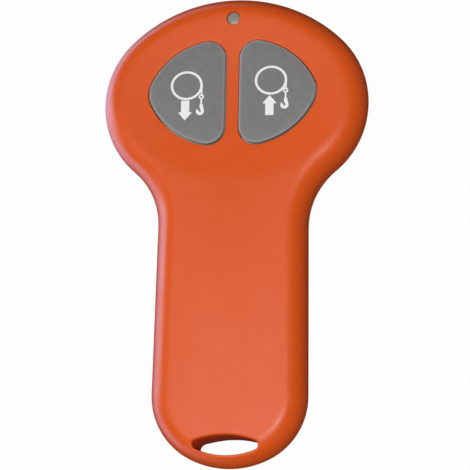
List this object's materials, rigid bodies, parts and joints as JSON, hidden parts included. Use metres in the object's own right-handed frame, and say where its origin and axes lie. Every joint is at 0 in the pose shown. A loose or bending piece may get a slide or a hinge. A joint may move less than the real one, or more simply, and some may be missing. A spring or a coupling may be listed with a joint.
{
  "type": "wireless remote control",
  "caption": "Handheld wireless remote: round head with two soft keys and an indicator, straight grip, lanyard slot and battery door.",
  "frame": {"origin": "middle of the bounding box, on the flat back face", "axes": "+Z from the back face to the keys, +Y from the heel to the head, +X to the right seen from the keys"},
  "size_m": [0.0622, 0.11, 0.0175],
  "materials": {
    "orange_abs": "satin moulded ABS",
    "grey_rubber": "matt silicone rubber",
    "black_nylon": "matt moulded nylon",
    "spring_steel": "bright stamped",
    "tinned_legs": "tin plated",
    "green_laminate": "lacquered glass laminate",
    "copper": "bare copper",
    "nickel_can": "nickel plated",
    "black_sleeve": "shrink sleeve",
    "tan_ceramic": "fired ceramic",
    "milky_lens": "diffusing epoxy",
    "battery_sleeve": "plain printed film",
    "nickel_strip": "nickel plated strip",
    "brass_strip": "rolled strip",
    "zinc_screw": "zinc plated"
  },
  "bodies": {
    "housing": {"front_shell": "orange_abs", "back_shell": "orange_abs", "left_dome": "spring_steel", "right_dome": "spring_steel", "switch_bodies": "black_nylon", "switch_covers": "spring_steel", "switch_legs": "tinned_legs", "circuit_board": "green_laminate", "antenna_trace": "copper", "encoder_chip": "black_nylon", "chip_legs_row": "tinned_legs", "resonator_can": "nickel_can", "crystal": "nickel_can", "coil": "copper", "reservoir_capacitor": "black_sleeve", "transistors": "black_nylon", "resistors": "black_nylon", "capacitors": "tan_ceramic", "indicator_led": "milky_lens", "led_leads": "tinned_legs", "led_spacer": "black_nylon", "battery_can": "battery_sleeve", "battery_button": "nickel_can", "spring_contact": "nickel_strip", "plate_contact": "nickel_strip", "return_strip": "brass_strip", "case_screws": "zinc_screw"},
    "left_key": {"left_button": "grey_rubber", "left_plunger": "black_nylon"},
    "right_key": {"right_button": "grey_rubber", "right_plunger": "black_nylon"},
    "door": {"battery_door": "orange_abs", "door_latch": "orange_abs"}
  },
  "joints": [
    {"name": "left_key_press", "type": "slide", "parent": "housing", "child": "left_key", "axis": [0, 0, -1], "range_m": [0, 0.0005], "stiffness_N_per_m": 1500, "springref_m": -0.0005, "deforming": ["left_dome"]},
    {"name": "right_key_press", "type": "slide", "parent": "housing", "child": "right_key", "axis": [0, 0, -1], "range_m": [0, 0.0005], "stiffness_N_per_m": 1500, "springref_m": -0.0005, "deforming": ["right_dome"]},
    {"name": "battery_door_swing", "type": "hinge", "parent": "housing", "child": "door", "pos_m": [0, -0.006, 0], "axis": [1, 0, 0], "range_deg": [0, 45], "deforming": ["door_latch"]}
  ]
}
